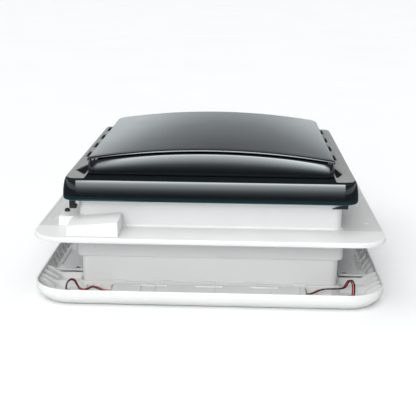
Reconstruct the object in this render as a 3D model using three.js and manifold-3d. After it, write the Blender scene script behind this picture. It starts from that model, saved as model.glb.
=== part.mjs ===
// Roof vent cover for a caravan or motorhome: a hinged smoke-tinted lid on a
// white flanged base, and a separate ceiling frame whose collar slides up
// inside the base's spigot. The roof panel sits in the gap between the two.
// Millimetres, +Z up, front at -Y, origin at the centre of the ceiling frame's
// lowest face.
import * as THREE from "three";
import { mergeVertices } from "three/addons/utils/BufferGeometryUtils.js";
import Module from "manifold-3d";

const wasm = await Module();
wasm.setup();

// ---- Driving dimensions ----------------------------------------------------
const GAP = 0.3; // clearance between pieces that touch

const FRAME_HALF = 250; // ceiling frame, half of its outer width
const FRAME_RADIUS = 56;
const FRAME_TOP = 25;
const FRAME_PLATE = 2.8; // thickness of its lower plate
const FRAME_FLOOR = 1.5; // ribs, bosses and gussets start inside the plate
const RAIL_WALL = 3; // outer wall of the channel
const OPENING_HALF = 160; // clear opening seen from inside
const CHANNEL_INNER = 190.3; // inner edge of the open channel round the frame
const COLLAR_HALF = 186;
const COLLAR_WALL = 2.5;
const COLLAR_TOP = 79;

const ROOF_TOP = 90.5; // the roof's outer skin
const FLANGE_HALF = 247;
const FLANGE_RADIUS = 44;
const FLANGE_TOP = 100;
const FLANGE_THICK = 3.5;
const LIP_BOTTOM = 93;
const SPIGOT_HALF = 192;
const SPIGOT_WALL = 3.2;
const SPIGOT_BOTTOM = 56;
const UPSTAND_HALF = 188;
const UPSTAND_WALL = 3;
const UPSTAND_TOP = 148;
const SCREW_X = 229; // screw holes along the flange's side rails
const SCREW_ROW = [-150, -50, 50, 150];
const CORNER = 12; // corner radius of spigot, upstand and collar
const INNER_WALL_TOP = 16; // wall between the channel and the collar
const RIB_TOP = 12; // cross ribs of the ceiling frame's channel
const RIB_ROW = [-178, -142, 142, 178];
const GUSSET_ROW = [-160, -124, 124, 160];
const BOSS_LINE = 216; // screw bosses: distance from the middle, and along each side
const BOSS_ROW = [-90, 90];
const BOSS_TOP = 12.5;
const TAB_ROW = [-130, -60, 0, 60, 130];
const COVER_REACH = 138; // half length of the channel's cover plates
const COVER_LOW = 13;
const COVER_TOP = 15.5;

const SKIRT_BOTTOM = 142; // lower edge of the lid
const SKIRT_HALF = 208.5;
const LID_TOP = 172; // flat top of the lid pan
const LID_HALF = 206;
const LID_WALL = 2.8;
const LINER_HALF = 197;
const LINER_BOTTOM = 154;
const LINER_TOP = 168.2;

const HOOD_HALF = 176;
const HOOD_FRONT = -170;
const HOOD_BACK = 165;
const HOOD_EDGE = 196; // height of the hood's side edges
const HOOD_RISE = 14; // rise of its arch at the middle
const HOOD_THICK = 2.6;

const AXIS_Z = 142; // lid hinge, arm pivots and slider track share this height
const HINGE_Y = 197;
const ARM_LENGTH = 165; // equal to the pivot's distance from the hinge
const ARM_Y = HINGE_Y - ARM_LENGTH;
const ARM_TIP_Y = ARM_Y - ARM_LENGTH;
const ARM_X = -180.4; // outer face of the left arm
const ARM_THICK = 3;
const HINGE_X = 110;

const SHAFT_X = -171; // drive shaft, gears and crank spindle
const SHAFT_Z = 123.5;
const SPINDLE_Y = -171;
const SHAFT_R = 2.5;
const GEAR_R = 14;

const TRACK_IN = 164.5; // blind tracks, inner and outer faces
const TRACK_OUT = 176;
const BAR_FRONT = -157;
const BAR_DEPTH = 14;
const BLIND_Z = 10; // middle height of the blind and of the insect screen
const SCREEN_Z = 17;
const LAMP_XY = 206;
const LEAD_R = 1.1;
const HOUSING_X = [-196, -124]; // front box of the gear housing
const HOUSING_Y = [-241, -180];
const HOUSING_TOP = [114.5, 121]; // heights of its sloping top, left and right
const WING_Y = [-192, -146];
const WING_TOP = 115;
const HOUSING_WALL = 2.5;
const HOUSING_SCREW = [-208, -166];

// ---- Materials -------------------------------------------------------------
const finish = (color, roughness, metalness = 0) => ({ color, roughness, metalness });
const WHITE = finish(0xededeb, 0.45);
const SMOKE = finish(0x1c2428, 0.1);
const GREY = finish(0x9b9b99, 0.7);
const LIGHT_GREY = finish(0xc9cacb, 0.6);
const BLACK = finish(0x17181a, 0.55);
const RUBBER = finish(0x232323, 0.85);
const STEEL = finish(0xb6b8ba, 0.3, 0.9);
const BRASS = finish(0xb79a58, 0.35, 0.9);
const FABRIC = finish(0xd8d6cf, 0.9);
const MESH = finish(0x4a4c4e, 0.9);
const LENS = finish(0xf3f1e6, 0.3);
const BOARD = finish(0x2f6b3c, 0.6);
const RED = finish(0xb3221c, 0.5);

// ---- Solids ----------------------------------------------------------------
const root = new THREE.Group();

function toSolid(geometry) {
  const bare = geometry.clone();
  bare.deleteAttribute("normal");
  bare.deleteAttribute("uv");
  const merged = mergeVertices(bare, 1e-4);
  return new wasm.Manifold(
    new wasm.Mesh({
      numProp: 3,
      vertProperties: new Float32Array(merged.attributes.position.array),
      triVerts: new Uint32Array(merged.index.array),
    }),
  );
}

function toGeometry(solid) {
  const mesh = solid.getMesh();
  const geometry = new THREE.BufferGeometry();
  geometry.setAttribute("position", new THREE.BufferAttribute(mesh.vertProperties, 3));
  geometry.setIndex(new THREE.BufferAttribute(mesh.triVerts, 1));
  geometry.computeVertexNormals();
  return geometry;
}

function place(name, solid, look, mirrored = false) {
  const mesh = new THREE.Mesh(toGeometry(solid), new THREE.MeshStandardMaterial(look));
  mesh.name = name;
  if (mirrored) mesh.scale.x = -1;
  root.add(mesh);
  return mesh;
}

// The same solid on the left, and mirrored on the right.
function placePair(name, solid, look) {
  place(`${name}_left`, solid, look);
  place(`${name}_right`, solid, look, true);
}

function box(x0, x1, y0, y1, z0, z1) {
  const geometry = new THREE.BoxGeometry(x1 - x0, y1 - y0, z1 - z0);
  geometry.translate((x0 + x1) / 2, (y0 + y1) / 2, (z0 + z1) / 2);
  return toSolid(geometry);
}

// A cylinder along "x", "y" or "z" from a to b; p and q are its other two coordinates.
function rod(axis, radius, a, b, p, q, sides = 12) {
  const geometry = new THREE.CylinderGeometry(radius, radius, b - a, sides);
  if (axis === "x") geometry.rotateZ(Math.PI / 2).translate((a + b) / 2, p, q);
  if (axis === "y") geometry.translate(p, (a + b) / 2, q);
  if (axis === "z") geometry.rotateX(Math.PI / 2).translate(p, q, (a + b) / 2);
  return toSolid(geometry);
}

// Corner points of a square with rounded corners, anticlockwise.
function roundedSquare(half, radius, steps = 4) {
  const points = [];
  for (const [cx, cy, start] of [[1, -1, -90], [1, 1, 0], [-1, 1, 90], [-1, -1, 180]]) {
    for (let i = 0; i <= steps; i++) {
      const angle = THREE.MathUtils.degToRad(start + (90 * i) / steps);
      points.push(
        new THREE.Vector2(
          cx * (half - radius) + radius * Math.cos(angle),
          cy * (half - radius) + radius * Math.sin(angle),
        ),
      );
    }
  }
  return points;
}

// A solid through outlines of equal point count, each given with its place in space.
function loft(rings) {
  const count = rings[0].length;
  const vertices = rings.flat().flatMap((p) => [p.x, p.y, p.z]);
  const index = [];
  for (let k = 0; k + 1 < rings.length; k++) {
    for (let i = 0; i < count; i++) {
      const j = (i + 1) % count;
      const a = k * count + i;
      const b = k * count + j;
      index.push(a, b, b + count, a, b + count, a + count);
    }
  }
  for (let i = 1; i + 1 < count; i++) {
    const last = (rings.length - 1) * count;
    index.push(0, i + 1, i, last, last + i, last + i + 1);
  }
  const geometry = new THREE.BufferGeometry();
  geometry.setAttribute("position", new THREE.Float32BufferAttribute(vertices, 3));
  geometry.setIndex(index);
  return toSolid(geometry);
}

// Rounded squares stacked in Z: each level is [z, half, radius].
function squareStack(levels, steps = 4) {
  return loft(
    levels.map(([z, half, radius]) =>
      roundedSquare(half, radius, steps).map((p) => new THREE.Vector3(p.x, p.y, z)),
    ),
  );
}

function squareRing(outer, outerRadius, inner, innerRadius, z0, z1, steps = 4) {
  const solid = squareStack([[z0, outer, outerRadius], [z1, outer, outerRadius]], steps);
  const hole = squareStack([[z0 - 1, inner, innerRadius], [z1 + 1, inner, innerRadius]], steps);
  return solid.subtract(hole);
}

// A flat outline given as [u, v] pairs, pushed along "x" (u=y, v=z) or "y" (u=x, v=z).
function prism(axis, outline, from, to) {
  const shape = new THREE.Shape(outline.map(([u, v]) => new THREE.Vector2(u, v)));
  const geometry = new THREE.ExtrudeGeometry(shape, { depth: to - from, bevelEnabled: false });
  if (axis === "x") {
    const basis = new THREE.Matrix4().makeBasis(
      new THREE.Vector3(0, 1, 0),
      new THREE.Vector3(0, 0, 1),
      new THREE.Vector3(1, 0, 0),
    );
    geometry.applyMatrix4(basis).translate(from, 0, 0);
  } else {
    geometry.rotateX(Math.PI / 2).translate(0, to, 0);
  }
  return toSolid(geometry);
}

const joined = (...solids) => solids.reduce((sum, solid) => sum.add(solid));
const cut = (solid, ...tools) => tools.reduce((rest, tool) => rest.subtract(tool), solid);

// ---- Ceiling frame ---------------------------------------------------------
function ceilingFrame() {
  const outside = squareStack([
    [0, FRAME_HALF - 12, FRAME_RADIUS - 8],
    [3, FRAME_HALF - 5, FRAME_RADIUS - 4],
    [8, FRAME_HALF - 1.5, FRAME_RADIUS - 1],
    [14, FRAME_HALF, FRAME_RADIUS],
    [FRAME_TOP, FRAME_HALF, FRAME_RADIUS],
  ]);
  const channelOutside = squareStack([
    [FRAME_PLATE, FRAME_HALF - 12, FRAME_RADIUS - 8],
    [8, FRAME_HALF - 5, FRAME_RADIUS - 4],
    [14, FRAME_HALF - RAIL_WALL, FRAME_RADIUS - RAIL_WALL],
    [FRAME_TOP + 1, FRAME_HALF - RAIL_WALL, FRAME_RADIUS - RAIL_WALL],
  ]);
  const channelInside = squareStack([
    [0, CHANNEL_INNER, CORNER],
    [FRAME_TOP + 2, CHANNEL_INNER, CORNER],
  ]);
  const channel = channelOutside.subtract(channelInside);
  const wellHalf = COLLAR_HALF + 1;
  const well = squareRing(wellHalf, CORNER, OPENING_HALF + 2.5, CORNER, FRAME_PLATE, FRAME_TOP + 1);
  const throat = squareStack([
    [-1, OPENING_HALF, CORNER],
    [FRAME_TOP + 1, OPENING_HALF, CORNER],
  ]);
  const fenceTop = squareStack([
    [6, OPENING_HALF + 4, CORNER],
    [FRAME_TOP + 1, OPENING_HALF + 4, CORNER],
  ]);
  const innerWallTop = squareStack([
    [INNER_WALL_TOP, CHANNEL_INNER + 1, CORNER],
    [FRAME_TOP + 1, CHANNEL_INNER + 1, CORNER],
  ]);
  let frame = cut(outside, channel, well, throat, fenceTop, innerWallTop);
  // Cross ribs in the channel, and gussets on its outer wall.
  const outerEnd = FRAME_HALF - 1;
  const wallMiddle = squareStack([
    [0, FRAME_HALF - 14, FRAME_RADIUS - 10],
    [3, FRAME_HALF - 8.4, FRAME_RADIUS - 7],
    [8, FRAME_HALF - 3.3, FRAME_RADIUS - 3],
    [14, FRAME_HALF - 1.6, FRAME_RADIUS - 2],
    [FRAME_TOP, FRAME_HALF - 1.6, FRAME_RADIUS - 2],
  ]);
  for (let side = 0; side < 4; side++) {
    for (const u of RIB_ROW) {
      const rib = box(CHANNEL_INNER - 1, outerEnd, u - 1, u + 1, FRAME_FLOOR, RIB_TOP);
      frame = frame.add(rib.intersect(wallMiddle).rotate([0, 0, side * 90]));
    }
    for (const u of GUSSET_ROW) {
      const outline = [[outerEnd - 23, FRAME_FLOOR], [outerEnd, FRAME_FLOOR], [outerEnd, 21]];
      const gusset = prism("y", outline, u - 1, u + 1).intersect(wallMiddle);
      frame = frame.add(gusset.rotate([0, 0, side * 90]));
    }
  }
  // Notches in the front ribs for the lamps' wires.
  for (const x of [-181, 139]) {
    frame = frame.subtract(box(x, x + 42, -215, -200, 6.5, RIB_TOP + 2));
  }
  // Screw bosses for fixing up into the roof.
  for (const [x, y] of bossPlaces()) {
    frame = frame.add(rod("z", 5, FRAME_FLOOR, BOSS_TOP, x, y, 8));
    frame = frame.subtract(rod("z", 2.1, -1, BOSS_TOP + 1, x, y, 6));
  }
  // Spring tabs on the channel's inner wall at the front and the back.
  for (const x of TAB_ROW) {
    for (const y of [-CHANNEL_INNER + 1.6, CHANNEL_INNER - 1.6]) {
      const tab = box(x - 9, x + 9, y - 1.3, y + 1.3, INNER_WALL_TOP - 4, INNER_WALL_TOP + 2.5);
      frame = frame.add(tab);
    }
  }
  // Round pocket for the crank knob, and seats for the two lamps.
  frame = frame.subtract(rod("z", 11.2, -1, 6.5, SHAFT_X, SPINDLE_Y, 24));
  for (const side of [-1, 1]) {
    frame = frame.subtract(rod("z", 12.4, -1, 4, side * LAMP_XY, -LAMP_XY, 24));
  }
  return frame;
}

function bossPlaces() {
  const places = [];
  for (const side of [-1, 1]) {
    for (const u of BOSS_ROW) {
      places.push([side * BOSS_LINE, u]);
      places.push([u, side * BOSS_LINE]);
    }
  }
  return places;
}

place("ceiling_frame", ceilingFrame(), WHITE);
place(
  "telescopic_collar",
  squareRing(
    COLLAR_HALF,
    CORNER,
    COLLAR_HALF - COLLAR_WALL,
    CORNER - COLLAR_WALL,
    FRAME_PLATE + GAP,
    COLLAR_TOP,
  ),
  WHITE,
);

// Cover plates that close the channel along the sides and the front.
function sideCover() {
  const plate = box(-234, -193, -COVER_REACH, COVER_REACH, COVER_LOW, COVER_TOP);
  const slots = [-120, 40].map((y) => box(-231, -224, y, y + 80, COVER_LOW - 1, COVER_TOP + 1));
  const holes = BOSS_ROW.map((y) => rod("z", 2.6, COVER_LOW - 1, COVER_TOP + 1, -BOSS_LINE, y, 8));
  return cut(plate, ...slots, ...holes);
}
placePair("side_cover", sideCover(), LIGHT_GREY);

function frontCover() {
  const plate = box(-COVER_REACH, COVER_REACH, -236, -193, COVER_LOW, COVER_TOP);
  const lip = box(-COVER_REACH, COVER_REACH, -236, -233.5, COVER_TOP - 1, COVER_TOP + 3);
  const clips = [-100, -20, 60].map((x) => box(x, x + 40, -203, -199, COVER_TOP - 0.5, COVER_TOP + 2));
  const holes = BOSS_ROW.map((x) => rod("z", 2.6, COVER_LOW - 1, COVER_TOP + 1, x, -BOSS_LINE, 8));
  return cut(joined(plate, lip, ...clips), ...holes);
}
place("front_cover", frontCover(), WHITE);

// ---- Blind and insect screen -----------------------------------------------
function track() {
  const body = box(-TRACK_OUT, -TRACK_IN, -157, 160, FRAME_PLATE + GAP, 22);
  const grooves = [BLIND_Z, SCREEN_Z].map((z) =>
    box(-TRACK_OUT + 4, -TRACK_IN + 1, -158, 161, z - 2.5, z + 2.5),
  );
  return cut(body, ...grooves);
}
placePair("blind_track", track(), WHITE);

place("rear_rail", box(-163.5, 163.5, 161, 176, 6.3, 22), WHITE);

function pullBar(z) {
  const bar = box(-170.5, 170.5, BAR_FRONT, BAR_FRONT + BAR_DEPTH, z - 2.2, z + 2.2);
  const grip = box(-34, 34, BAR_FRONT - 1, BAR_FRONT + 4, z - 3, z - 0.4);
  return bar.subtract(grip);
}

function pleats(z) {
  return box(-163.5, 163.5, BAR_FRONT + BAR_DEPTH + GAP, 161 - GAP, z - 1.4, z + 1.4);
}

place("blind_bar", pullBar(BLIND_Z), WHITE);
place("blind_fabric", pleats(BLIND_Z), FABRIC);
place("screen_bar", pullBar(SCREEN_Z), LIGHT_GREY);
place("screen_fabric", pleats(SCREEN_Z), MESH);

// ---- Lamps and their wires -------------------------------------------------
function lampLens() {
  const points = [[0, GAP], [11, GAP], [12, 1.2], [12, 3.4], [10.6, 3.4], [10.6, 1.8], [0, 1.8]];
  const geometry = new THREE.LatheGeometry(points.map(([r, z]) => new THREE.Vector2(r, z)), 24);
  geometry.rotateX(Math.PI / 2).translate(-LAMP_XY, -LAMP_XY, 0);
  return toSolid(geometry);
}
placePair("lamp_lens", lampLens(), LENS);
placePair("lamp_board", rod("z", 9, 4.3, 6, -LAMP_XY, -LAMP_XY, 16), BOARD);

// The two leads of a lamp rise from its board, arch over the channel's corner
// and run along its front to a connector. The second lies beside the first.
const LEFT_ROUTE = [
  [-205, -204, 7.2],
  [-206, -202, 11],
  [-205, -198, 17],
  [-200, -197, 21.5],
  [-194, -200, 21.5],
  [-190, -203.5, 17],
  [-186, -206, 12],
  [-180, -207, 10],
  [-173.5, -207, 12],
  [-167, -206.5, 15],
  [-160, -206, 13],
  [-152, -205.5, 9.5],
  [-144, -205.2, 8.2],
  [-136.3, -205, 8.2],
];
const RIGHT_ROUTE = [
  [205, -204, 7.2],
  [206.5, -197, 11],
  [207.5, -186.5, 17],
  [205.5, -180, 20.6],
  [202, -180.5, 21.6],
  [198.5, -187, 20.8],
  [195, -196, 19.6],
  [191, -203.5, 19],
  [184, -207, 18.8],
  [174, -208, 18.8],
  [164, -207.5, 18],
  [155, -206.5, 15],
  [146, -205.5, 10],
  [136.3, -205, 8.2],
];

function lead(route, dx = 0, dy = 0, dz = 0) {
  const points = route.map(([x, y, z]) => new THREE.Vector3(x + dx, y + dy, z + dz));
  const curve = new THREE.CatmullRomCurve3(points);
  const section = new THREE.Shape();
  section.absarc(0, 0, LEAD_R, 0, 2 * Math.PI);
  return toSolid(
    new THREE.ExtrudeGeometry(section, { steps: 26, curveSegments: 4, extrudePath: curve }),
  );
}
place("lead_red_left", lead(LEFT_ROUTE), RED);
place("lead_black_left", lead(LEFT_ROUTE, 0, -3.4), BLACK);
place("lead_red_right", lead(RIGHT_ROUTE), RED);
place("lead_black_right", lead(RIGHT_ROUTE, 2.5, -2.5, 1.3), BLACK);
placePair("lead_connector", box(-136, -118, -213, -201, 4, 12.5), WHITE);

// ---- Base ------------------------------------------------------------------
function baseFrame() {
  const flange = squareStack([
    [FLANGE_TOP - FLANGE_THICK, FLANGE_HALF, FLANGE_RADIUS],
    [FLANGE_TOP - 1.6, FLANGE_HALF, FLANGE_RADIUS],
    [FLANGE_TOP, FLANGE_HALF - 1.8, FLANGE_RADIUS - 1.8],
  ]);
  const lip = squareRing(
    FLANGE_HALF,
    FLANGE_RADIUS,
    FLANGE_HALF - 3,
    FLANGE_RADIUS - 3,
    LIP_BOTTOM,
    FLANGE_TOP - 2,
  );
  const upstand = squareStack([
    [FLANGE_TOP - 3, UPSTAND_HALF, CORNER],
    [UPSTAND_TOP, UPSTAND_HALF, CORNER],
  ]);
  const spigot = squareRing(
    SPIGOT_HALF,
    CORNER + 2,
    SPIGOT_HALF - SPIGOT_WALL,
    CORNER,
    SPIGOT_BOTTOM,
    FLANGE_TOP - 2,
  );
  const inside = squareStack([
    [FLANGE_TOP - 5, UPSTAND_HALF - UPSTAND_WALL, CORNER - UPSTAND_WALL],
    [UPSTAND_TOP + 1, UPSTAND_HALF - UPSTAND_WALL, CORNER - UPSTAND_WALL],
  ]);
  let base = joined(flange, lip, upstand, spigot).subtract(inside);
  for (const side of [-1, 1]) {
    for (const y of SCREW_ROW) {
      base = base.subtract(rod("z", 2.4, FLANGE_TOP - 5, FLANGE_TOP + 1, side * SCREW_X, y, 12));
    }
  }
  return base;
}
place("base_frame", baseFrame(), WHITE);

function roofSeal() {
  const ring = squareRing(238, 37, 200, 16, ROOF_TOP, FLANGE_TOP - FLANGE_THICK - GAP);
  const holes = [-1, 1].flatMap((side) =>
    SCREW_ROW.map((y) => rod("z", 2.8, ROOF_TOP - 1, FLANGE_TOP, side * SCREW_X, y, 12)),
  );
  return cut(ring, ...holes);
}
place("roof_seal", roofSeal(), RUBBER);

// Moulded cover over the gear corner: a front box with a sloping top, and a
// wing that runs back along the left side.
function gearHousing() {
  const bottom = FLANGE_TOP + GAP;
  const under = bottom - 1;
  const wall = HOUSING_WALL;
  const [left, right] = HOUSING_X;
  const [front, back] = HOUSING_Y;
  const [topLeft, topRight] = HOUSING_TOP;
  const [wingFront, wingBack] = WING_Y;
  const section = [[left - 1, bottom], [right + 1, bottom], [right, topRight], [left, topLeft]];
  const hollow = [
    [left + wall, under],
    [right - wall, under],
    [right - wall, topRight - wall],
    [left + wall, topLeft - wall],
  ];
  const block = prism("y", section, front, back);
  const blockHollow = prism("y", hollow, front + wall, back);
  const wing = box(-216, -180, wingFront, wingBack, bottom, WING_TOP);
  const wingHollow = box(-213.5, -180, wingFront + wall, wingBack - wall, under, WING_TOP - wall);
  const clearHalf = UPSTAND_HALF + 2 * GAP;
  const clear = squareStack([
    [bottom - 2, clearHalf, CORNER + 2 * GAP],
    [topRight + 10, clearHalf, CORNER + 2 * GAP],
  ]);
  const screwHole = rod("z", 1.9, WING_TOP - 7, WING_TOP + 3, ...HOUSING_SCREW, 10);
  return cut(joined(block, wing), blockHollow, wingHollow, clear, screwHole);
}
place("gear_housing", gearHousing(), WHITE);

function housingScrew() {
  const head = WING_TOP + GAP;
  const points = [
    [0, head - 14],
    [1.6, head - 14],
    [1.6, head],
    [4, head],
    [4, head + 1.7],
    [3.2, head + 3.5],
    [1.6, head + 4.5],
    [0, head + 4.7],
  ];
  const geometry = new THREE.LatheGeometry(points.map(([r, z]) => new THREE.Vector2(r, z)), 14);
  geometry.rotateX(Math.PI / 2).translate(...HOUSING_SCREW, 0);
  return toSolid(geometry);
}
place("housing_screw", housingScrew(), RUBBER);

// ---- Lid -------------------------------------------------------------------
function lidPan() {
  const outside = squareStack([
    [SKIRT_BOTTOM, SKIRT_HALF, 22],
    [LID_TOP - 5, LID_HALF + 0.6, 20],
    [LID_TOP - 1.6, LID_HALF - 0.6, 19],
    [LID_TOP, LID_HALF - 3, 17],
  ]);
  const inside = squareStack([
    [SKIRT_BOTTOM - 1, SKIRT_HALF - LID_WALL, 19.3],
    [LID_TOP - 6, LID_HALF + 0.6 - LID_WALL, 17.3],
    [LID_TOP - 3, LID_HALF - 4, 15.6],
  ]);
  return outside.subtract(inside);
}
place("lid_pan", lidPan(), SMOKE);

function lidLiner() {
  const outside = squareStack([[LINER_BOTTOM, LINER_HALF, 17], [LINER_TOP, LINER_HALF, 17]]);
  const inside = squareStack([
    [LINER_BOTTOM + 2.2, LINER_HALF - 2, 15],
    [LINER_TOP + 1, LINER_HALF - 2, 15],
  ]);
  let liner = outside.subtract(inside);
  const reach = LINER_HALF - 1;
  for (const u of [-100, 0, 100]) {
    liner = liner.add(box(-reach, reach, u - 1, u + 1, LINER_BOTTOM + 1, 158));
  }
  return liner;
}
place("lid_liner", lidLiner(), LIGHT_GREY);
place("lid_seal", squareRing(191, 15, 182, 8, UPSTAND_TOP + GAP, LINER_BOTTOM - GAP), RUBBER);

// Height of the hood's upper surface at x: an arc over its width.
function hoodHeight(x) {
  const radius = (HOOD_HALF ** 2 + HOOD_RISE ** 2) / (2 * HOOD_RISE);
  return HOOD_EDGE + HOOD_RISE - radius + Math.sqrt(radius ** 2 - x ** 2);
}

// Outline in x and z between two heights given as functions of x.
function archOutline(half, lower, upper, steps = 14) {
  const xs = Array.from({ length: steps + 1 }, (_, i) => -half + (2 * half * i) / steps);
  return [...xs.map((x) => [x, lower(x)]), ...xs.reverse().map((x) => [x, upper(x)])];
}

function lidHood() {
  const roof = prism(
    "y",
    archOutline(HOOD_HALF, (x) => hoodHeight(x) - HOOD_THICK, hoodHeight),
    HOOD_FRONT,
    HOOD_BACK,
  );
  const rear = prism(
    "y",
    archOutline(HOOD_HALF - 6, () => LID_TOP + GAP, (x) => hoodHeight(x) - 1),
    HOOD_BACK - 9,
    HOOD_BACK - 6,
  );
  const plan = new THREE.Shape();
  const w = HOOD_HALF;
  const r = 14;
  plan.moveTo(-w, HOOD_FRONT - 1);
  plan.lineTo(w, HOOD_FRONT - 1);
  plan.lineTo(w, HOOD_BACK - r);
  plan.absarc(w - r, HOOD_BACK - r, r, 0, Math.PI / 2);
  plan.absarc(-w + r, HOOD_BACK - r, r, Math.PI / 2, Math.PI);
  const options = { depth: 60, bevelEnabled: false, curveSegments: 6 };
  const trim = new THREE.ExtrudeGeometry(plan, options).translate(0, 0, LID_TOP - 10);
  return joined(roof, rear).intersect(toSolid(trim));
}
place("lid_hood", lidHood(), SMOKE);

function lidNose() {
  const half = HOOD_HALF - 1;
  const top = (x) => hoodHeight(x) - 5;
  const slice = (y, lift, drop) =>
    archOutline(half, () => LID_TOP + GAP + lift, (x) => top(x) - drop).map(
      ([x, z]) => new THREE.Vector3(x, y, z),
    );
  const front = [slice(-177, 3, 8), slice(-175.5, 1, 4.5), slice(-172, 0, 1.4), slice(-167, 0, 0)];
  const inner = (y, drop) =>
    archOutline(half - 3, () => LID_TOP - 1, (x) => top(x) - drop).map(
      ([x, z]) => new THREE.Vector3(x, y, z),
    );
  return loft(front.reverse()).subtract(loft([inner(-160, 3), inner(-172, 4)]));
}
place("lid_nose", lidNose(), SMOKE);

// Matte strip on the pan beside the hood, with windows, a triangular one at the
// front, and a louvred riser. margin is the solid width along the pan's edge.
const WINDOW_ROW = [-69, 2.5, 74, 145.5];
const WINDOW_LENGTH = 44;
const STRIP_INNER = HOOD_HALF - 0.5;

function sideVent(margin) {
  const outer = LID_HALF - 3.4;
  const z0 = LID_TOP + GAP;
  const z1 = z0 + 2;
  const inner = -outer + margin;
  const windowEdge = -STRIP_INNER - 2;
  let strip = box(-outer, -STRIP_INNER, -199, 196, z0, z1);
  for (const y of WINDOW_ROW) {
    strip = strip.subtract(box(inner, windowEdge, y, y + WINDOW_LENGTH, z0 - 1, z1 + 1));
  }
  const corner = new THREE.Shape([
    new THREE.Vector2(inner + 2, -155),
    new THREE.Vector2(windowEdge, -182),
    new THREE.Vector2(windowEdge, -104),
  ]);
  const wedge = new THREE.ExtrudeGeometry(corner, { depth: 6, bevelEnabled: false });
  strip = strip.subtract(toSolid(wedge.translate(0, 0, z0 - 2)));
  const riserTop = HOOD_EDGE - HOOD_THICK - GAP;
  let riser = box(-STRIP_INNER - 0.4, -STRIP_INNER + 2.1, -164, 150, z0, riserTop);
  for (let i = 0; i < 9; i++) {
    const y = -150 + i * 33;
    riser = riser.subtract(box(windowEdge, -STRIP_INNER + 4, y, y + 24, z0 + 6, HOOD_EDGE - 7));
  }
  return joined(strip, riser);
}
place("side_vent_left", sideVent(8), GREY);
place("side_vent_right", sideVent(15), GREY, true);

const CATCH_LOW = 126;

// Catch that hangs below the lid's front-left corner, and a guide wedge on the right.
place(
  "lid_catch",
  joined(
    box(-200, -193, -190, -178, CATCH_LOW, LINER_BOTTOM - GAP),
    box(-193.5, -190.5, -190, -178, CATCH_LOW, CATCH_LOW + 4),
  ),
  BLACK,
);
place(
  "lid_guide",
  prism(
    "y",
    [[172, 133.4], [194, 133.4], [194, LINER_BOTTOM - GAP], [191, LINER_BOTTOM - GAP], [191, 139.5]],
    -196,
    -191.5,
  ),
  BLACK,
);

// ---- Hinges ----------------------------------------------------------------
const PIN_HOLE = 1.75;
const KNUCKLE_R = 3.6;

function hingeBracket() {
  const plate = box(-HINGE_X - 16, -HINGE_X + 16, UPSTAND_HALF + GAP, 191, AXIS_Z - 26, AXIS_Z + 5);
  const arm = box(-HINGE_X - 7, -HINGE_X + 7, 190, HINGE_Y, AXIS_Z - 3, AXIS_Z + 3);
  const knuckle = rod("x", KNUCKLE_R, -HINGE_X - 7, -HINGE_X + 7, HINGE_Y, AXIS_Z);
  const hole = rod("x", PIN_HOLE, -HINGE_X - 20, -HINGE_X + 20, HINGE_Y, AXIS_Z);
  return cut(joined(plate, arm, knuckle), hole);
}

function hingeLeaf() {
  const plate = box(-HINGE_X - 18, -HINGE_X + 18, 199.6, 202.2, AXIS_Z, AXIS_Z + 24);
  const window = box(-HINGE_X - 7.5, -HINGE_X + 7.5, 198, 204, AXIS_Z - 1, AXIS_Z + 9);
  const knuckles = [-1, 1].map((side) => {
    const x = -HINGE_X + side * 12.8;
    return rod("x", KNUCKLE_R, x - 5.2, x + 5.2, HINGE_Y, AXIS_Z);
  });
  const hole = rod("x", PIN_HOLE, -HINGE_X - 20, -HINGE_X + 20, HINGE_Y, AXIS_Z);
  return cut(joined(plate.subtract(window), ...knuckles), hole);
}
placePair("hinge_bracket", hingeBracket(), BLACK);
placePair("hinge_leaf", hingeLeaf(), BLACK);
placePair("hinge_pin", rod("x", 1.4, -HINGE_X - 19, -HINGE_X + 19, HINGE_Y, AXIS_Z), STEEL);

// ---- Lifting arms ----------------------------------------------------------
const PIVOT_R = 2.2;
const ARM_IN = ARM_X + ARM_THICK;

function liftArm() {
  const outline = new THREE.Shape();
  outline.absarc(ARM_Y, AXIS_Z, 6, -Math.PI / 2, Math.PI / 2);
  outline.absarc(ARM_TIP_Y, AXIS_Z, 4.6, Math.PI / 2, (3 * Math.PI) / 2);
  const points = outline.getPoints(6).map((p) => [p.x, p.y]);
  const bar = prism("x", points.slice(0, -1), ARM_X, ARM_IN);
  const pin = rod("x", PIVOT_R, ARM_IN - 1, -164.6, ARM_TIP_Y, AXIS_Z);
  return joined(bar, pin).subtract(rod("x", PIVOT_R + GAP, ARM_X - 1, ARM_IN + 1, ARM_Y, AXIS_Z));
}
placePair("lift_arm", liftArm(), BLACK);
placePair("arm_pivot", rod("x", PIVOT_R, -184.4, -167, ARM_Y, AXIS_Z), STEEL);
placePair(
  "arm_bracket",
  cut(
    box(-184.7, -181, ARM_Y - 12, ARM_Y + 12, AXIS_Z - 22, AXIS_Z + 5.6),
    rod("x", PIVOT_R + GAP, -186, -180, ARM_Y, AXIS_Z),
  ),
  BLACK,
);

function slider() {
  const block = box(-172.4, -163.4, ARM_TIP_Y - 6, ARM_TIP_Y + 6, AXIS_Z - 5, AXIS_Z + 5);
  return block.subtract(rod("x", PIVOT_R + GAP, -173, -164.2, ARM_TIP_Y, AXIS_Z));
}
placePair("slider", slider(), LIGHT_GREY);

function sliderTrack() {
  const body = box(-174.6, -160, ARM_TIP_Y - 16, ARM_TIP_Y + 94, AXIS_Z - 8, LINER_BOTTOM - GAP);
  return body.subtract(
    box(-176, -162.4, ARM_TIP_Y - 8, ARM_TIP_Y + 88, AXIS_Z - 5.5, AXIS_Z + 5.5),
  );
}
placePair("slider_track", sliderTrack(), BLACK);

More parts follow.
